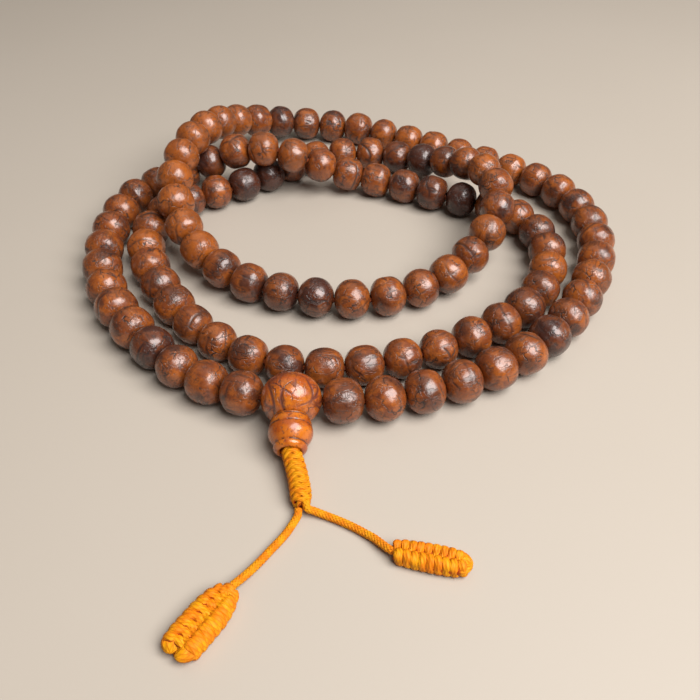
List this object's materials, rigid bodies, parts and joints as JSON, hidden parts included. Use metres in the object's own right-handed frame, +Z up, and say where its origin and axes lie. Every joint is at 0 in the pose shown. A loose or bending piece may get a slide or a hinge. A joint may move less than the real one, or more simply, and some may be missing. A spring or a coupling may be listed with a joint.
{
  "type": "prayer beads",
  "caption": "String of round seed beads closed by a larger guru bead, with a tower bead, a wrapped knot and two tail cords ending in leaf knots, laid in overlapping loops.",
  "frame": {"origin": "on the table, under the middle of the beaded loops and the drop as far as the gathering knot", "axes": "+Z up from the table; -Y towards the guru bead and the tails; +X to the right of someone facing the guru bead"},
  "size_m": [0.1509, 0.2011, 0.024],
  "materials": {
    "seed_dark": "polished seed, blackish brown",
    "seed_brown": "polished seed, reddish brown",
    "seed_light": "polished seed, lighter reddish brown",
    "guru": "polished seed, orange brown with dark cracks",
    "tower": "polished turned bead, orange brown",
    "cord": "braided orange-yellow cord"
  },
  "bodies": {
    "strand": {"stringing_cord": "cord", "guru_bead": "guru", "beads_009_016": "seed_dark", "beads_017_024": "seed_light", "beads_025_032": "seed_brown", "beads_045_052": "seed_dark", "beads_053_060": "seed_light", "beads_081_088": "seed_dark", "beads_089_096": "seed_light", "beads_097_104": "seed_brown"},
    "drop": {"gather_knot": "cord"},
    "tower": {"tower_bead": "tower"},
    "tail_left": {"tail_cord_left": "cord", "leaf_knot_left": "cord"},
    "tail_right": {"tail_cord_right": "cord", "leaf_knot_right": "cord"},
    "bead_001": {"bead_001": "seed_brown"},
    "bead_002": {"bead_002": "seed_light"},
    "bead_003": {"bead_003": "seed_dark"},
    "bead_004": {"bead_004": "seed_brown"},
    "bead_005": {"bead_005": "seed_light"},
    "bead_006": {"bead_006": "seed_dark"},
    "bead_007": {"bead_007": "seed_brown"},
    "bead_008": {"bead_008": "seed_light"},
    "bead_033": {"bead_033": "seed_dark"},
    "bead_034": {"bead_034": "seed_brown"},
    "bead_035": {"bead_035": "seed_light"},
    "bead_036": {"bead_036": "seed_dark"},
    "bead_037": {"bead_037": "seed_brown"},
    "bead_038": {"bead_038": "seed_light"},
    "bead_039": {"bead_039": "seed_dark"},
    "bead_040": {"bead_040": "seed_brown"},
    "bead_041": {"bead_041": "seed_light"},
    "bead_042": {"bead_042": "seed_dark"},
    "bead_043": {"bead_043": "seed_brown"},
    "bead_044": {"bead_044": "seed_light"},
    "bead_061": {"bead_061": "seed_brown"},
    "bead_062": {"bead_062": "seed_light"},
    "bead_063": {"bead_063": "seed_dark"},
    "bead_064": {"bead_064": "seed_brown"},
    "bead_065": {"bead_065": "seed_light"},
    "bead_066": {"bead_066": "seed_dark"},
    "bead_067": {"bead_067": "seed_brown"},
    "bead_068": {"bead_068": "seed_light"},
    "bead_069": {"bead_069": "seed_dark"},
    "bead_070": {"bead_070": "seed_brown"},
    "bead_071": {"bead_071": "seed_light"},
    "bead_072": {"bead_072": "seed_dark"},
    "bead_073": {"bead_073": "seed_brown"},
    "bead_074": {"bead_074": "seed_light"},
    "bead_075": {"bead_075": "seed_dark"},
    "bead_076": {"bead_076": "seed_brown"},
    "bead_077": {"bead_077": "seed_light"},
    "bead_078": {"bead_078": "seed_dark"},
    "bead_079": {"bead_079": "seed_brown"},
    "bead_080": {"bead_080": "seed_light"},
    "bead_105": {"bead_105": "seed_dark"},
    "bead_106": {"bead_106": "seed_brown"},
    "bead_107": {"bead_107": "seed_light"},
    "bead_108": {"bead_108": "seed_dark"}
  },
  "joints": [
    {"name": "drop_swing", "type": "hinge", "parent": "strand", "child": "drop", "pos_m": [-0.0135, -0.0594, 0.0069], "axis": [0, 0, 1], "range_deg": [-10, 10]},
    {"name": "tower_spin", "type": "hinge", "parent": "drop", "child": "tower", "pos_m": [-0.0135, -0.0594, 0.0069], "axis": [0.0341, -0.9776, -0.2079], "continuous": true},
    {"name": "tail_left_swing", "type": "hinge", "parent": "drop", "child": "tail_left", "pos_m": [-0.0107, -0.0866, 0.0014], "axis": [0, 0, 1], "range_deg": [-40, 30]},
    {"name": "tail_right_swing", "type": "hinge", "parent": "drop", "child": "tail_right", "pos_m": [-0.0088, -0.0853, 0.002], "axis": [0, 0, 1], "range_deg": [-30, 40]},
    {"name": "bead_001_spin", "type": "hinge", "parent": "strand", "child": "bead_001", "pos_m": [-0.00194, -0.05876, 0.00593], "axis": [0.9928, 0.0918, -0.0775], "continuous": true},
    {"name": "bead_002_spin", "type": "hinge", "parent": "strand", "child": "bead_002", "pos_m": [0.00752, -0.05735, 0.00535], "axis": [0.9783, 0.2025, -0.0435], "continuous": true},
    {"name": "bead_003_spin", "type": "hinge", "parent": "strand", "child": "bead_003", "pos_m": [0.01678, -0.05489, 0.00508], "axis": [0.951, 0.3091, -0.0116], "continuous": true},
    {"name": "bead_004_spin", "type": "hinge", "parent": "strand", "child": "bead_004", "pos_m": [0.02572, -0.05145, 0.00501], "axis": [0.9123, 0.4094, -0.0029], "continuous": true},
    {"name": "bead_005_spin", "type": "hinge", "parent": "strand", "child": "bead_005", "pos_m": [0.03424, -0.04707, 0.005], "axis": [0.8639, 0.5036, 0], "continuous": true},
    {"name": "bead_006_spin", "type": "hinge", "parent": "strand", "child": "bead_006", "pos_m": [0.04212, -0.04165, 0.00502], "axis": [0.7795, 0.6264, 0.0038], "continuous": true},
    {"name": "bead_007_spin", "type": "hinge", "parent": "strand", "child": "bead_007", "pos_m": [0.04913, -0.03513, 0.00509], "axis": [0.6822, 0.7311, 0.0105], "continuous": true},
    {"name": "bead_008_spin", "type": "hinge", "parent": "strand", "child": "bead_008", "pos_m": [0.05527, -0.02778, 0.00519], "axis": [0.5969, 0.8023, 0.0108], "continuous": true},
    {"name": "bead_033_spin", "type": "hinge", "parent": "strand", "child": "bead_033", "pos_m": [-0.05265, 0.02198, 0.01578], "axis": [0.0394, -0.9624, -0.2688], "continuous": true},
    {"name": "bead_034_spin", "type": "hinge", "parent": "strand", "child": "bead_034", "pos_m": [-0.05123, 0.01294, 0.01315], "axis": [0.2563, -0.9248, -0.281], "continuous": true},
    {"name": "bead_035_spin", "type": "hinge", "parent": "strand", "child": "bead_035", "pos_m": [-0.04778, 0.0045, 0.01042], "axis": [0.4646, -0.837, -0.2891], "continuous": true},
    {"name": "bead_036_spin", "type": "hinge", "parent": "strand", "child": "bead_036", "pos_m": [-0.0425, -0.00304, 0.00794], "axis": [0.6368, -0.7366, -0.2277], "continuous": true},
    {"name": "bead_037_spin", "type": "hinge", "parent": "strand", "child": "bead_037", "pos_m": [-0.03571, -0.00951, 0.00624], "axis": [0.7797, -0.6131, -0.1271], "continuous": true},
    {"name": "bead_038_spin", "type": "hinge", "parent": "strand", "child": "bead_038", "pos_m": [-0.02773, -0.01465, 0.00534], "axis": [0.8854, -0.4608, -0.0603], "continuous": true},
    {"name": "bead_039_spin", "type": "hinge", "parent": "strand", "child": "bead_039", "pos_m": [-0.01893, -0.01834, 0.00503], "axis": [0.9513, -0.3083, -0.0047], "continuous": true},
    {"name": "bead_040_spin", "type": "hinge", "parent": "strand", "child": "bead_040", "pos_m": [-0.00962, -0.02052, 0.005], "axis": [0.9894, -0.1452, -0.001], "continuous": true},
    {"name": "bead_041_spin", "type": "hinge", "parent": "strand", "child": "bead_041", "pos_m": [-0.00009, -0.02106, 0.005], "axis": [0.9995, 0.0321, 0], "continuous": true},
    {"name": "bead_042_spin", "type": "hinge", "parent": "strand", "child": "bead_042", "pos_m": [0.00932, -0.01965, 0.00507], "axis": [0.965, 0.2619, 0.0151], "continuous": true},
    {"name": "bead_043_spin", "type": "hinge", "parent": "strand", "child": "bead_043", "pos_m": [0.01821, -0.01622, 0.00538], "axis": [0.8895, 0.4542, 0.0494], "continuous": true},
    {"name": "bead_044_spin", "type": "hinge", "parent": "strand", "child": "bead_044", "pos_m": [0.02606, -0.01094, 0.00624], "axis": [0.751, 0.6475, 0.1291], "continuous": true},
    {"name": "bead_061_spin", "type": "hinge", "parent": "strand", "child": "bead_061", "pos_m": [-0.0509, 0.02733, 0.00504], "axis": [-0.7233, -0.6904, 0.0092], "continuous": true},
    {"name": "bead_062_spin", "type": "hinge", "parent": "strand", "child": "bead_062", "pos_m": [-0.05656, 0.01981, 0.00515], "axis": [-0.4644, -0.8855, 0.0123], "continuous": true},
    {"name": "bead_063_spin", "type": "hinge", "parent": "strand", "child": "bead_063", "pos_m": [-0.05921, 0.01083, 0.0052], "axis": [-0.0894, -0.996, -0.0006], "continuous": true},
    {"name": "bead_064_spin", "type": "hinge", "parent": "strand", "child": "bead_064", "pos_m": [-0.0587, 0.00138, 0.00522], "axis": [0.1953, -0.9807, 0.0033], "continuous": true},
    {"name": "bead_065_spin", "type": "hinge", "parent": "strand", "child": "bead_065", "pos_m": [-0.05569, -0.00764, 0.00527], "axis": [0.4331, -0.9013, 0.0075], "continuous": true},
    {"name": "bead_066_spin", "type": "hinge", "parent": "strand", "child": "bead_066", "pos_m": [-0.05125, -0.01614, 0.00526], "axis": [0.4916, -0.8708, -0.0101], "continuous": true},
    {"name": "bead_067_spin", "type": "hinge", "parent": "strand", "child": "bead_067", "pos_m": [-0.04617, -0.02427, 0.00512], "axis": [0.5677, -0.8231, -0.018], "continuous": true},
    {"name": "bead_068_spin", "type": "hinge", "parent": "strand", "child": "bead_068", "pos_m": [-0.04016, -0.0317, 0.00502], "axis": [0.6863, -0.7273, -0.0035], "continuous": true},
    {"name": "bead_069_spin", "type": "hinge", "parent": "strand", "child": "bead_069", "pos_m": [-0.0331, -0.03815, 0.005], "axis": [0.7863, -0.6178, 0], "continuous": true},
    {"name": "bead_070_spin", "type": "hinge", "parent": "strand", "child": "bead_070", "pos_m": [-0.02499, -0.04315, 0.005], "axis": [0.9056, -0.4241, 0], "continuous": true},
    {"name": "bead_071_spin", "type": "hinge", "parent": "strand", "child": "bead_071", "pos_m": [-0.01597, -0.0462, 0.005], "axis": [0.9768, -0.2143, 0], "continuous": true},
    {"name": "bead_072_spin", "type": "hinge", "parent": "strand", "child": "bead_072", "pos_m": [-0.00651, -0.04718, 0.005], "axis": [0.9999, 0.0104, 0], "continuous": true},
    {"name": "bead_073_spin", "type": "hinge", "parent": "strand", "child": "bead_073", "pos_m": [0.00296, -0.04607, 0.005], "axis": [0.9751, 0.2217, 0], "continuous": true},
    {"name": "bead_074_spin", "type": "hinge", "parent": "strand", "child": "bead_074", "pos_m": [0.0122, -0.04352, 0.005], "axis": [0.9511, 0.3089, 0], "continuous": true},
    {"name": "bead_075_spin", "type": "hinge", "parent": "strand", "child": "bead_075", "pos_m": [0.02114, -0.04009, 0.005], "axis": [0.9135, 0.4069, 0], "continuous": true},
    {"name": "bead_076_spin", "type": "hinge", "parent": "strand", "child": "bead_076", "pos_m": [0.02967, -0.03571, 0.00504], "axis": [0.8624, 0.5062, 0.0077], "continuous": true},
    {"name": "bead_077_spin", "type": "hinge", "parent": "strand", "child": "bead_077", "pos_m": [0.03765, -0.03041, 0.00515], "axis": [0.8022, 0.5968, 0.0167], "continuous": true},
    {"name": "bead_078_spin", "type": "hinge", "parent": "strand", "child": "bead_078", "pos_m": [0.04465, -0.02395, 0.00529], "axis": [0.6579, 0.7531, 0.0111], "continuous": true},
    {"name": "bead_079_spin", "type": "hinge", "parent": "strand", "child": "bead_079", "pos_m": [0.05013, -0.01615, 0.00536], "axis": [0.4873, 0.8732, 0.0053], "continuous": true},
    {"name": "bead_080_spin", "type": "hinge", "parent": "strand", "child": "bead_080", "pos_m": [0.0538, -0.00737, 0.00539], "axis": [0.2784, 0.9605, 0.0006], "continuous": true},
    {"name": "bead_105_spin", "type": "hinge", "parent": "strand", "child": "bead_105", "pos_m": [-0.04859, -0.04079, 0.00501], "axis": [0.7034, -0.7108, -0.0026], "continuous": true},
    {"name": "bead_106_spin", "type": "hinge", "parent": "strand", "child": "bead_106", "pos_m": [-0.04151, -0.04725, 0.005], "axis": [0.7708, -0.6371, 0], "continuous": true},
    {"name": "bead_107_spin", "type": "hinge", "parent": "strand", "child": "bead_107", "pos_m": [-0.03364, -0.05264, 0.00523], "axis": [0.8726, -0.4861, 0.0481], "continuous": true},
    {"name": "bead_108_spin", "type": "hinge", "parent": "strand", "child": "bead_108", "pos_m": [-0.02498, -0.05663, 0.00588], "axis": [0.9335, -0.3478, 0.0874], "continuous": true}
  ]
}
